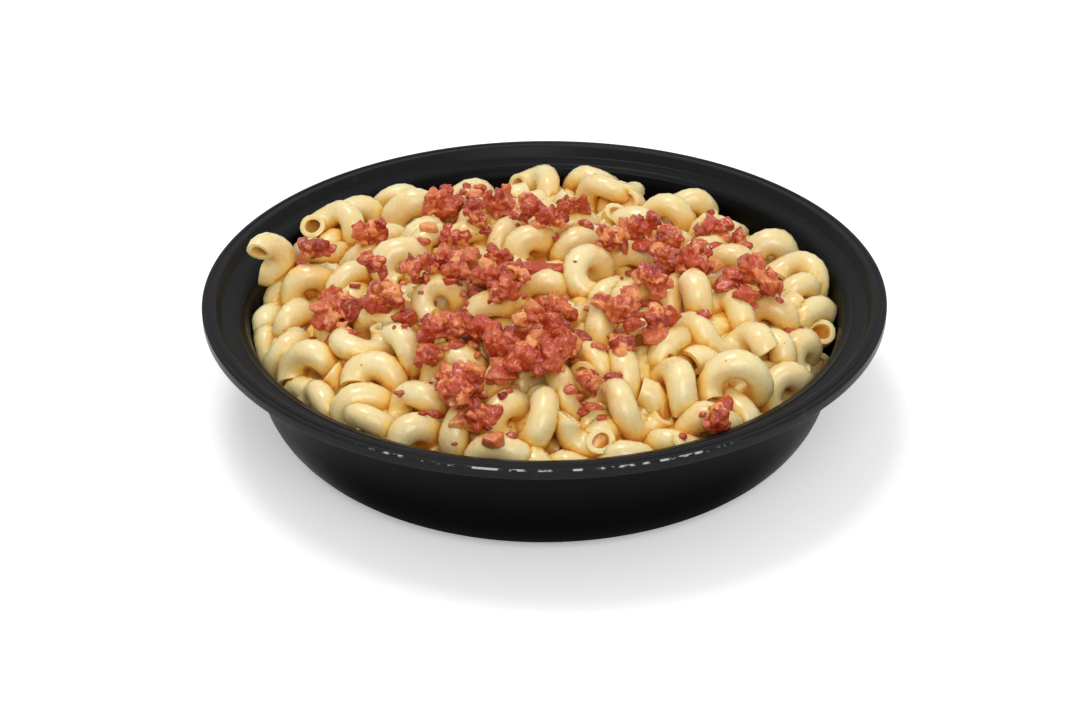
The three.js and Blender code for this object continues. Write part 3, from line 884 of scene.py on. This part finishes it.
@dataclass(frozen=True)
class CheesyPasta:
    """Soft cooked pasta under a thin coat of cheese sauce, with flecks, orange grease, and painted
    warm shade, golden to deep orange, in its crevices and on its undersides.
    """

    name: str = "cheesy_pasta"
    pale: Colour = rgb(247, 225, 172)
    deep: Colour = rgb(244, 214, 150)
    painted_golden_shade: Colour = rgb(244, 202, 102)
    painted_crevice_shade: Colour = rgb(226, 150, 48)
    grease: Colour = rgb(236, 166, 84)
    fleck: Colour = rgb(160, 72, 24)
    gloss: float = 0.27
    uneven: float = 0.4
    relief: float = 0.0003
    glow_depth: float = 0.003
    glow_tint: tuple[float, float, float] = (1.0, 0.5, 0.14)
    golden_shade: Span = (0.1, 0.48)
    crevice_shade: Span = (0.42, 0.8)

    def material(self) -> bpy.types.Material:
        """Builds the finish.

        Returns:
            The material.
        """
        paint = Paint(self.name)
        body = paint.mix(self.deep, self.pale, paint.noise(0.011, 3.0).step(0.3, 0.7))
        pools = paint.noise(0.004, 2.0).step(0.42, 0.66)
        body = paint.mix(body, self.grease, paint.attribute("grease") * (0.1 + 0.6 * pools))
        # Painted shade: golden, then deep orange, where the view is closed off or the surface faces
        # down.
        shut = paint.attribute("painted_crevice_shade")
        body = paint.mix(body, self.painted_golden_shade, shut.step(*self.golden_shade) * 0.85)
        body = paint.mix(body, self.painted_crevice_shade, shut.step(*self.crevice_shade) * 0.9)
        dots = paint.cells(0.0042).step(0.11, 0.06) * paint.noise(0.012, 1.0).step(0.5, 0.62)
        body = paint.mix(body, self.fleck, dots * 0.75)
        relief = paint.noise(0.0045, 1.0) * 0.6 + paint.noise(0.0013, 2.0) * 0.4
        return paint.surface(
            Base_Color=body,
            Roughness=self.gloss + (paint.noise(0.0025, 3.0) - 0.5) * self.uneven,
            Subsurface_Weight=0.5, Subsurface_Radius=self.glow_tint,
            Subsurface_Scale=self.glow_depth, Specular_IOR_Level=0.45,
            Coat_Weight=0.4, Coat_Roughness=0.07,
            Normal=paint.bump(relief, self.relief))


@dataclass(frozen=True)
class TubeMould:
    """Sizes that all corkscrew pieces share, in millimetres."""

    tube_radius: float = 4.4
    wall: float = 1.8
    sides: int = 16
    steps_per_turn: int = 19


@dataclass(frozen=True)
class Corkscrew:
    """One piece of pasta: a tube coiled round a straight axis."""

    x: float
    y: float
    z: float
    heading: float
    tilt: float
    start: float
    turns: float
    coil: float = 4.7
    pitch: float = 16.5

    def place(self) -> Matrix:
        """Takes the coil from its own axis along Z to its place in the bowl.

        Returns:
            The change of place.
        """
        h, t = math.radians(self.heading), math.radians(self.tilt)
        axis = Vector((math.cos(h) * math.cos(t), math.sin(h) * math.cos(t), math.sin(t)))
        side = Vector((-math.sin(h), math.cos(h), 0))
        turned = Matrix((side, axis.cross(side), axis)).transposed().to_4x4()
        turned.translation = Vector((self.x, self.y, self.z)) * MM
        return turned

    def line(self, count: int) -> np.ndarray:
        """Points along the middle of the tube.

        Args:
            count: How many points.

        Returns:
            Rows of x, y, z in metres.
        """
        turn = np.linspace(-self.turns / 2, self.turns / 2, count)
        angle = TURN * turn + math.radians(self.start)
        own = np.stack([self.coil * np.cos(angle), self.coil * np.sin(angle),
                        turn * self.pitch], 1) * MM
        place = np.array(self.place())
        return own @ place[:3, :3].T + place[:3, 3]

    def build(self, mould: TubeMould, width: float) -> bpy.types.Object:
        """Screws a ring along the coil into an open tube.

        Args:
            mould: The sizes that all pieces share.
            width: A factor on the tube's radius.

        Returns:
            The tube, one face thick, at its place.
        """
        turn = -self.turns / 2
        angle = TURN * turn + math.radians(self.start)
        around = Vector((-math.sin(angle), math.cos(angle), 0)) * TURN * self.coil
        along = (around + Vector((0, 0, self.pitch))).normalized()
        middle = Vector((self.coil * math.cos(angle), self.coil * math.sin(angle),
                         turn * self.pitch)) * MM
        bpy.ops.object.select_all(action="DESELECT")
        bpy.ops.mesh.primitive_circle_add(
            vertices=mould.sides, radius=mould.tube_radius * width * MM, fill_type="NOTHING",
            location=middle, rotation=along.to_track_quat("Z", "Y").to_euler())
        tube = bpy.context.object
        settle(tube)
        steps = max(4, round(self.turns * mould.steps_per_turn))
        modify(tube, "SCREW", axis="Z", angle=TURN * self.turns,
               screw_offset=self.pitch * self.turns * MM, steps=steps, render_steps=steps,
               use_smooth_shade=True, use_normal_flip=True)
        tube.data.transform(self.place())
        return tube


@dataclass(frozen=True)
class Filling:
    """How the pieces below are laid, in millimetres, degrees and turns.

    Each is tried in several ways near its point of a grid. What counts against a way is how much
    it presses on others, how deep it lies, how far it crosses the wall or the heap's outline,
    and how well the pieces on show hide it.
    """

    spacing: float = 14.0
    row_step: float = 0.866
    edge: float = 88.0
    tries: int = 40
    shift: float = 5.0
    depth: Span = (9, 20)
    tilt: Span = (-25, 25)
    turns: Span = (1.1, 1.7)
    coil: Span = (4.3, 5.1)
    pitch: Span = (15, 18)
    clearance: float = 8.6
    wall_room: float = 93.0
    cover: float = 3.0
    shadow: float = 8.0
    depth_weight: float = 1.5
    wall_weight: float = 3.0
    cover_weight: float = 4.0
    hidden_weight: float = 0.6


@dataclass
class PastaHeap:
    """Heaped corkscrew pasta: the pieces on show, those that fill below them, and the sauce."""

    bowl: Bowl
    mould: TubeMould = TubeMould()
    low_mould: TubeMould = TubeMould(sides=12, steps_per_turn=13)
    filling: Filling = Filling()
    looks: tuple[tuple[float, float, float], ...] = ((0.0, 0.0, 1.0), (0.0, -0.861, 0.509))
    crown: float = 62.0
    fall: float = 21.0
    reach: float = 98.0
    curve: float = 2.2
    gap: float = 0.45
    sauce_gap: float = 0.2
    swell: Span = (0.97, 1.09)
    lip: float = 0.45
    grease_from: float = 14.0
    grease_full: float = 5.0
    shade_reach: float = 11.0
    seed: int = 4117
    finish: CheesyPasta = CheesyPasta()
    sauce_finish: CheesyPasta = CheesyPasta(
        "cheese_sauce", pale=rgb(242, 220, 168), deep=rgb(238, 208, 146),
        painted_golden_shade=rgb(236, 196, 120), gloss=0.22)

    def height(self, x: np.ndarray, y: np.ndarray) -> np.ndarray:
        """Height of the heap's outline over a place, in millimetres."""
        return self.crown - self.fall * (np.hypot(x, y) / self.reach) ** self.curve

    def contain(self, thing: bpy.types.Object, gap: float) -> None:
        """Presses what would cross the bowl against the inside of its wall.

        Args:
            thing: The object.
            gap: How far from the wall it stays, in millimetres.
        """
        p = points_of(thing) / MM
        p[:, 2] = np.maximum(p[:, 2], self.bowl.wall + gap)
        far = np.hypot(p[:, 0], p[:, 1])
        room = self.bowl.inner_radius(p[:, 2], gap)
        shrink = np.where(far > room, room / np.maximum(far, 1e-6), 1.0)
        p[:, :2] *= shrink[:, None]
        set_points(thing, p * MM)

    def shown(self) -> list[Corkscrew]:
        """The pieces on show."""
        return [Corkscrew(*row) for row in PASTA_ROWS]

    def covers(self, line: np.ndarray, shown: np.ndarray) -> float:
        """How much a piece lies over those on show, seen from above and from in front.

        Args:
            line: Points along the piece, in metres.
            shown: Points along the pieces on show.

        Returns:
            The sum over all points.
        """
        apart = (line[:, None] - shown[None]) / MM
        total = 0.0
        for toward in self.looks:
            over = apart @ np.array(toward)
            aside = np.linalg.norm(apart - over[..., None] * np.array(toward), axis=2)
            near = np.where(over > 0, np.maximum(0, self.filling.shadow - aside), 0)
            total += np.sum(near.max(1) ** 2)
        return total

    def press(self, line: np.ndarray, depth: float, laid: np.ndarray, shown: np.ndarray) -> float:
        """What counts against a way to lay a piece below.

        Args:
            line: Points along the piece, in metres.
            depth: How deep it lies under the heap's outline, in millimetres.
            laid: Points along all pieces laid before it.
            shown: Points along the pieces on show.

        Returns:
            The sum, which is the smallest for the best way.
        """
        plan = self.filling
        near = np.linalg.norm(line[:, None] - laid[None], axis=2).min(1) / MM
        press = np.sum(np.maximum(0, plan.clearance - near) ** 2) + plan.depth_weight * depth
        far = np.hypot(line[:, 0], line[:, 1]) / MM
        press += plan.wall_weight * np.sum(np.maximum(0, far - plan.wall_room) ** 2)
        outline = self.height(line[:, 0] / MM, line[:, 1] / MM)
        press += plan.cover_weight * np.sum(
            np.maximum(0, line[:, 2] / MM - outline + plan.cover) ** 2)
        return press + plan.hidden_weight * self.covers(line, shown)

    def below(self, shown: Sequence[Corkscrew]) -> list[Corkscrew]:
        """Pieces that fill the gaps under those on show.

        Args:
            shown: The pieces already laid.

        Returns:
            The pieces below.
        """
        plan = self.filling
        dice = random.Random(self.seed)
        laid = np.concatenate([piece.line(16) for piece in shown])
        clear = laid
        found = []
        rows = int(plan.edge / plan.spacing) + 1
        for j in range(-rows, rows + 1):
            for i in range(-rows, rows + 1):
                x0 = (i + 0.5 * (j % 2)) * plan.spacing
                y0 = j * plan.spacing * plan.row_step
                if math.hypot(x0, y0) > plan.edge:
                    continue
                best = None
                for _ in range(plan.tries):
                    x = x0 + dice.uniform(-plan.shift, plan.shift)
                    y = y0 + dice.uniform(-plan.shift, plan.shift)
                    depth = dice.uniform(*plan.depth)
                    piece = Corkscrew(x, y, float(self.height(x, y)) - depth, dice.uniform(0, 360),
                                      dice.uniform(*plan.tilt), dice.uniform(0, 360),
                                      dice.uniform(*plan.turns), dice.uniform(*plan.coil),
                                      dice.uniform(*plan.pitch))
                    line = piece.line(12)
                    press = self.press(line, depth, laid, clear)
                    if best is None or press < best[0]:
                        best = (press, piece, line)
                found.append(best[1])
                laid = np.concatenate([laid, best[2]])
        return found

    def tubes(self, pieces: Sequence[Corkscrew], name: str, mould: TubeMould) -> bpy.types.Object:
        """Joins open tubes, softens them, keeps them in the bowl and gives them their walls.

        Args:
            pieces: The pieces of pasta.
            name: The name of the joined object.
            mould: The sizes that they share.

        Returns:
            The joined tubes.
        """
        dice = random.Random(self.seed + 1)
        heap = join([piece.build(mould, dice.uniform(*self.swell)) for piece in pieces], name)
        modify(heap, "DISPLACE", texture=lumps("slump", 0.016, colour=True), strength=0.0024,
               direction="RGB_TO_XYZ", texture_coords="LOCAL", mid_level=0.5)
        modify(heap, "DISPLACE", texture=lumps("dents", 0.006), strength=0.0006,
               texture_coords="LOCAL", mid_level=0.5)
        self.contain(heap, self.gap)
        modify(heap, "SOLIDIFY", thickness=mould.wall * MM, offset=-1.0, use_rim=True)
        return heap

    def build(self) -> dict[str, bpy.types.Object]:
        """Builds the pasta and the sauce.

        Returns:
            The pieces by name.
        """
        shown = self.shown()
        below = self.below(shown)
        top = self.tubes(shown, "corkscrew_pasta", self.mould)
        under = self.tubes(below, "corkscrew_pasta_below", self.low_mould)
        for heap in (top, under):
            modify(heap, "BEVEL", width=self.lip * MM, segments=2, limit_method="ANGLE",
                   angle_limit=math.radians(55))
            smooth(heap, math.radians(60))
        sauce = self.sauce(under)
        log.info("%d pieces on show and %d below", len(shown), len(below))
        return {"top": top, "under": under, "sauce": sauce}

    def bed(self, drop: float = 16.5, edge: float = 94.0, rings: int = 40,
            sides: int = 160) -> bpy.types.Object:
        """Thick sauce and buried pasta below everything: a turned lump that fills the bowl.

        Args:
            drop: How far its top lies below the heap's outline, in millimetres.
            edge: The radius of that top.
            rings: How many rings the top has.
            sides: How many sides each ring has.

        Returns:
            The lump.
        """
        gap = self.bowl.wall + self.gap
        section = [(r, z) for r, z in self.bowl.wall_curve(gap, 8) if z < self.bowl.knee_height]
        for k in range(rings):
            r = edge * (1 - k / rings)
            section.append((r, float(self.height(r, 0)) - drop))
        bpy.ops.object.select_all(action="DESELECT")
        bpy.ops.mesh.primitive_circle_add(vertices=sides, radius=section[0][0] * MM,
                                          fill_type="NGON", location=(0, 0, section[0][1] * MM))
        bed = bpy.context.object
        settle(bed)
        with edit(bed):
            extrude_along(section)
        modify(bed, "DISPLACE", texture=lumps("pools", 0.014), strength=0.005,
               texture_coords="LOCAL", mid_level=0.5)
        bed.name = "sauce_bed"
        return bed

    def sauce(self, under: bpy.types.Object, reach: float = 1.6, film: float = 0.9,
              grain: float = 0.8, most: int = 190000) -> bpy.types.Object:
        """Sauce pooled round the pasta below: its joined skin, swollen and drawn back.

        Args:
            under: The pasta below.
            reach: How far the skin swells, which closes gaps of twice this, in millimetres.
            film: How far under the pasta's own surface it is drawn back.
            grain: The size of its facets.
            most: The most triangles that it may have.

        Returns:
            The sauce.
        """
        sauce = join([copy_of(under, "sauce"), self.bed()], "cheese_sauce")
        modify(sauce, "REMESH", mode="VOXEL", voxel_size=grain * MM)
        modify(sauce, "DISPLACE", strength=reach * MM, mid_level=0.0)
        modify(sauce, "REMESH", mode="VOXEL", voxel_size=grain * MM)
        modify(sauce, "DISPLACE", strength=-(reach + film) * MM, mid_level=0.0)
        modify(sauce, "SMOOTH", factor=0.6, iterations=6)
        thin(sauce, most)
        self.contain(sauce, self.sauce_gap)
        smooth(sauce)
        return sauce

    def dress(self, pieces: dict[str, bpy.types.Object], bacon: bpy.types.Object,
              spots: np.ndarray) -> None:
        """Paints the pasta and the sauce, with painted shade in their crevices and orange grease near
        the bacon.

        Args:
            pieces: The pasta and the sauce by name.
            bacon: The clumps of bacon, which shade them.
            spots: The middles of the clumps.
        """
        pasta = self.finish.material()
        sauce = self.sauce_finish.material()
        fade = self.grease_from - self.grease_full
        # How closed off each vertex is, which the finishes turn into painted shade.
        mark_crevices(list(pieces.values()), [bacon], self.shade_reach * MM)
        for key, piece in pieces.items():
            p = points_of(piece)
            near = np.full(len(p), 1.0)
            for spot in spots:
                near = np.minimum(near, np.linalg.norm(p - spot, axis=1))
            mark(piece, "grease", np.clip(1 - (near / MM - self.grease_full) / fade, 0, 1))
            dress(piece, sauce if key == "sauce" else pasta)
        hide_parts("pasta_heap")


# ---------------------------------------------------------------- bacon


@dataclass(frozen=True)
class FriedBacon:
    """Diced bacon: red lean and pale orange fat, glossy with grease."""

    dark: Colour = rgb(140, 24, 8)
    lean: Colour = rgb(194, 70, 32)
    pink: Colour = rgb(220, 120, 68)
    fat: Colour = rgb(240, 164, 94)
    gloss: float = 0.34
    uneven: float = 0.4
    relief: float = 0.0005
    glow_depth: float = 0.0015
    glow_tint: tuple[float, float, float] = (1.0, 0.35, 0.2)

    def material(self) -> bpy.types.Material:
        """Builds the finish.

        Returns:
            The material.
        """
        paint = Paint("fried_bacon")
        tone = paint.attribute("tone")
        streak = paint.noise(0.004, 3.0, Vector((1, 1, 2.2)), 0.8)
        blotch = paint.noise(0.0022, 3.0)
        lean = paint.mix(self.dark, self.lean,
                         tone.step(0.0, 0.32) * 0.75 + streak.step(0.4, 0.6) * 0.25)
        pink = paint.mix(lean, self.pink,
                         tone.step(0.4, 0.7) * 0.75 + blotch.step(0.52, 0.68) * 0.25)
        fat = paint.mix(pink, self.fat,
                        tone.step(0.66, 0.9) * 0.8 + streak.step(0.6, 0.68) * 0.5)
        relief = paint.noise(0.0012, 4.0) * 0.6 + paint.cells(0.0008) * 0.4
        return paint.surface(
            Base_Color=fat,
            Roughness=self.gloss + (paint.noise(0.0015, 3.0) - 0.5) * self.uneven,
            Subsurface_Weight=0.2, Subsurface_Radius=self.glow_tint,
            Subsurface_Scale=self.glow_depth, Specular_IOR_Level=0.45,
            Coat_Weight=0.5, Coat_Roughness=0.08,
            Normal=paint.bump(relief, self.relief))


@dataclass
class Bacon:
    """Diced bacon scattered over the heap: clumps of ragged lumps, loose bits and crumbs.

    Lengths are in millimetres. The other spans are shares of a clump's own size, factors, or, for
    a tone, the two shapes of a beta distribution.
    """

    heap: PastaHeap
    count: int = 49
    moulds: int = 8
    cuts: int = 7
    cut_depth: Span = (0.34, 0.5)
    core: float = 0.6
    fewest_chunks: int = 5
    chunks_per_mm: float = 1.2
    packed_out: Span = (0.45, 0.88)
    chunk_share: Span = (0.26, 0.46)
    chunk_shape: Span = (0.65, 1.35)
    largest_chunk: float = 6.0
    core_tone: Span = (1.5, 1.7)
    chunk_tone: Span = (1.4, 1.7)
    crumb_tone: Span = (1.2, 1.6)
    clump_grain: float = 0.44
    clump_triangles: int = 190000
    crumb_count: int = 420
    crumb_spread: float = 7.5
    crumb_shape: Span = (1, 1.7)
    smallest_crumb: float = 1.2
    crumb_rarity: float = 0.7
    bit_share: float = 0.7
    largest_crumb: float = 5.5
    crumb_height: float = 0.85
    crumb_rise: float = 0.16
    crumb_edge: float = 94.0
    drop_height: float = 90.0
    clear_of_ends: float = 6.0
    crumb_grain: float = 0.42
    crumb_triangles: int = 90000
    headroom: float = 0.3
    seed: int = 90210
    finish: FriedBacon = FriedBacon()

    def chunk(self, dice: random.Random, number: int) -> bpy.types.Object:
        """One chopped chunk about 1 m across: a block with its corners cut off and rounded.

        Args:
            dice: Where the random numbers come from.
            number: Its number, for its name.

        Returns:
            The chunk.
        """
        bpy.ops.object.select_all(action="DESELECT")
        bpy.ops.mesh.primitive_cube_add(size=1.0)
        block = bpy.context.object
        with edit(block):
            for _ in range(self.cuts):
                facing = Vector([dice.uniform(-1, 1) for _ in range(3)]).normalized()
                bpy.ops.mesh.select_all(action="SELECT")
                bpy.ops.mesh.bisect(plane_co=facing * dice.uniform(*self.cut_depth), plane_no=facing,
                                    use_fill=True, clear_outer=True)
        modify(block, "BEVEL", width=0.07, segments=2, limit_method="ANGLE",
               angle_limit=math.radians(20))
        block.name = f"chunk_{number}"
        return block

    def place(self, moulds: Sequence[bpy.types.Object], spot: Vector, size: Vector, tone: float,
              dice: random.Random) -> bpy.types.Object:
        """A copy of one of the chunks, turned at random, at a spot and with a size.

        Args:
            moulds: The chunks to choose from.
            spot: Where its middle goes, in metres.
            size: Its length, width and height in metres.
            tone: 0 for dark lean, 1 for pale fat.
            dice: Where the random numbers come from.

        Returns:
            The copy.
        """
        turn = Matrix.Rotation(dice.uniform(0, TURN), 4, Vector([
            dice.uniform(-1, 1) for _ in range(3)]).normalized())
        chunk = copy_of(dice.choice(moulds), "bacon", turn)
        chunk.data.transform(Matrix.Translation(spot) @ Matrix.Diagonal((*size, 1)))
        mark(chunk, "tone", tone)
        return chunk

    def clump(self, node: str, moulds: Sequence[bpy.types.Object],
              dice: random.Random) -> list[bpy.types.Object]:
        """Chunks packed over the form of one of the part's bacon pieces.

        Args:
            node: The name of the part's piece.
            moulds: The chunks to copy.
            dice: Where the random numbers come from.

        Returns:
            The chunks, of which the first is a smaller copy of the piece.
        """
        core = copy_of(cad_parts[node], "bacon_core")
        with edit(core):
            bpy.ops.mesh.remove_doubles(threshold=1e-6)
        p = points_of(core)
        low, high = p.min(0), p.max(0)
        middle, size = (low + high) / 2, high - low
        set_points(core, middle + (p - middle) * self.core)
        mark(core, "tone", dice.betavariate(*self.core_tone))
        pieces = [core]
        width = float(np.cbrt(np.prod(size)))
        for _ in range(self.fewest_chunks + int(width / MM * self.chunks_per_mm)):
            spot = middle + (p[dice.randrange(len(p))] - middle) * dice.uniform(*self.packed_out)
            wide = min(self.largest_chunk * MM, width * dice.uniform(*self.chunk_share))
            span = Vector([wide * dice.uniform(*self.chunk_shape) for _ in range(3)])
            tone = dice.betavariate(*self.chunk_tone)
            pieces.append(self.place(moulds, Vector(spot), span, tone, dice))
        return pieces

    def ragged(self, chunks: Sequence[bpy.types.Object], name: str, grain: float,
               most: int) -> bpy.types.Object:
        """Fuses chunks into crumbly clumps and keeps the tone of each.

        Args:
            chunks: The chunks.
            name: The name of the finished piece.
            grain: The size of its facets in millimetres.
            most: The most triangles that it may have.

        Returns:
            The finished piece.
        """
        bacon = join(chunks, name)
        before = points_of(bacon)
        tones = np.zeros(len(before))
        bacon.data.attributes["tone"].data.foreach_get("value", tones)
        lookup = KDTree(len(before))
        for i, point in enumerate(before):
            lookup.insert(point, i)
        lookup.balance()
        modify(bacon, "REMESH", mode="VOXEL", voxel_size=grain * MM)
        for label, size, depth in (("torn", 0.0036, 1.0), ("crumbly", 0.0013, 0.55)):
            modify(bacon, "DISPLACE", texture=lumps(f"{name}_{label}", size),
                   strength=depth * MM, mid_level=0.5, texture_coords="LOCAL")
        thin(bacon, most)
        mark(bacon, "tone", np.array([tones[lookup.find(p)[1]] for p in points_of(bacon)]))
        settled = points_of(bacon)
        settled[:, 2] = np.minimum(settled[:, 2], cad_high[2] - self.headroom * MM)
        set_points(bacon, settled)
        smooth(bacon, math.radians(60))
        return bacon

    def build(self) -> tuple[bpy.types.Object, np.ndarray]:
        """Builds the clumps over the part's bacon pieces.

        Returns:
            The bacon, and the middles of its clumps.
        """
        dice = random.Random(self.seed)
        self.chunks = [self.chunk(dice, n) for n in range(self.moulds)]
        pieces, spots = [], []
        for n in range(1, self.count + 1):
            low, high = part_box(f"bacon_{n:02d}")
            pieces += self.clump(f"bacon_{n:02d}", self.chunks, dice)
            spots.append((low + high) / 2)
        clumps = self.ragged(pieces, "diced_bacon", self.clump_grain, self.clump_triangles)
        return clumps, np.array(spots)

    def crumbs(self, ground: Sequence[bpy.types.Object], spots: np.ndarray) -> bpy.types.Object:
        """Loose bits and crumbs that lie on the pasta near the clumps.

        Args:
            ground: The pieces that they lie on.
            spots: The middles of the clumps.

        Returns:
            The bits and crumbs.
        """
        dice = random.Random(self.seed + 1)
        graph = bpy.context.evaluated_depsgraph_get()
        trees = [BVHTree.FromObject(thing, graph) for thing in ground]
        ends = np.concatenate([piece.line(12)[[0, -1]] for piece in self.heap.shown()])
        pieces = []
        spread = self.crumb_spread * MM
        down = Vector((0, 0, -1))
        wanted = [(x * MM, y * MM, (a + b) / 2 * self.bit_share, a / b)
                  for x, y, a, b in BIT_ROWS]
        for _ in range(self.crumb_count):
            spot = dice.choice(spots)
            x, y = spot[0] + dice.gauss(0, spread), spot[1] + dice.gauss(0, spread)
            size = self.smallest_crumb + dice.expovariate(self.crumb_rarity)
            wanted.append((x, y, min(self.largest_crumb, size), dice.uniform(*self.crumb_shape)))
        for x, y, size, stretch in wanted:
            hits = [tree.ray_cast(Vector((x, y, self.drop_height * MM)), down) for tree in trees]
            tops = [hit[0].z for hit in hits if hit[0] is not None]
            if not tops or math.hypot(x, y) > self.crumb_edge * MM:
                continue
            spot = Vector((x, y, max(tops) + size * MM * self.crumb_rise))
            if np.linalg.norm(ends - np.array(spot), axis=1).min() < self.clear_of_ends * MM:
                continue
            span = Vector((size * MM * stretch, size * MM, size * MM * self.crumb_height))
            tone = dice.betavariate(*self.crumb_tone)
            pieces.append(self.place(self.chunks, spot, span, tone, dice))
        crumbs = self.ragged(pieces, "bacon_crumbs", self.crumb_grain, self.crumb_triangles)
        discard(*self.chunks)
        return crumbs

    def dress(self, bacon: bpy.types.Object, crumbs: bpy.types.Object) -> None:
        """Paints the bacon, which stands for the part's plain pieces.

        Args:
            bacon: The clumps.
            crumbs: The loose bits and crumbs.
        """
        material = self.finish.material()
        for piece in (bacon, crumbs):
            dress(piece, material)
        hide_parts(*(f"bacon_{n:02d}" for n in range(1, self.count + 1)))


# ---------------------------------------------------------------- studio


@dataclass
class Studio:
    """Pale floor, soft light and the camera.

    The lens, the sensor and the camera's spot are in millimetres, its angles in radians, and the
    floor and the lights in metres.
    """

    lens: float = 69.14
    sensor: float = 36.0
    spot: tuple[float, float, float] = (-4.82, -615.6, 379.3)
    pitch: float = 0.533678
    yaw: float = 0.00531721
    roll: float = -0.00603854
    floor_size: float = 8.0
    floor_glow: float = 0.28
    sky_light: float = 0.6
    key_spot: tuple[float, float, float] = (-0.2, 0.12, 1.25)
    key_size: float = 0.42
    front_spot: tuple[float, float, float] = (0.15, -1.0, 0.85)
    front_size: float = 0.7
    power: float = 5.2

    def camera(self) -> None:
        """Puts the camera in front of the bowl, looking down."""
        ahead = Vector((math.sin(self.yaw) * math.cos(self.pitch),
                        math.cos(self.yaw) * math.cos(self.pitch), -math.sin(self.pitch)))
        right = Vector((math.cos(self.yaw), -math.sin(self.yaw), 0))
        up = right.cross(ahead)
        c, s = math.cos(self.roll), math.sin(self.roll)
        place = Matrix((right * c + up * s, up * c - right * s, -ahead)).transposed().to_4x4()
        place.translation = Vector(self.spot) * MM
        bpy.ops.object.camera_add()
        camera = bpy.context.object
        camera.matrix_world = place
        camera.data.lens = self.lens
        camera.data.sensor_width = self.sensor
        camera.data.sensor_fit = "HORIZONTAL"
        camera.data.clip_start, camera.data.clip_end = 0.01, 50
        bpy.context.scene.camera = camera

    def light(self, name: str, spot: Vector, size: float) -> None:
        """A square soft light that faces the bowl.

        Args:
            name: The light's name.
            spot: Where it hangs.
            size: The width of its face.
        """
        bpy.ops.object.light_add(type="AREA", location=spot)
        lamp = bpy.context.object
        lamp.name = name
        lamp.rotation_euler = (Vector((0, 0, 0.04)) - spot).to_track_quat("-Z", "Y").to_euler()
        lamp.data.shape = "SQUARE"
        lamp.data.size = size
        lamp.data.energy = self.power

    def build(self) -> None:
        """Builds the floor, the lights and the camera."""
        bpy.ops.object.select_all(action="DESELECT")
        bpy.ops.mesh.primitive_grid_add(x_subdivisions=8, y_subdivisions=8, size=self.floor_size)
        floor = bpy.context.object
        floor.name = "floor"
        paint = Paint("pale_floor")
        floor.data.materials.append(paint.surface(
            Base_Color=paint.mix(rgb(250, 250, 250), rgb(252, 252, 252), paint.noise(0.4)),
            Roughness=0.9, Specular_IOR_Level=0.0,
            Emission_Color=WHITE, Emission_Strength=self.floor_glow))
        world = bpy.data.worlds.new("soft_room")
        world.use_nodes = True
        sky = world.node_tree.nodes["Background"]
        sky.inputs["Color"].default_value = WHITE
        sky.inputs["Strength"].default_value = self.sky_light
        bpy.context.scene.world = world
        self.light("key_light", Vector(self.key_spot), self.key_size)
        self.light("front_light", Vector(self.front_spot), self.front_size)
        view = bpy.context.scene.view_settings
        view.view_transform = "Standard"
        view.look = "None"
        self.camera()


def main() -> None:
    """Builds the dish and the studio, and reports each piece."""
    logging.basicConfig(level=logging.INFO, format="%(message)s")
    bowl = Bowl()
    shell = bowl.build()
    bowl.dress(shell)
    heap = PastaHeap(bowl)
    pasta = heap.build()
    bacon = Bacon(heap)
    clumps, spots = bacon.build()
    crumbs = bacon.crumbs([pasta["top"], pasta["under"], pasta["sauce"]], spots)
    heap.dress(pasta, clumps, spots)
    bacon.dress(clumps, crumbs)
    Studio().build()


if __name__ == "__main__":
    main()
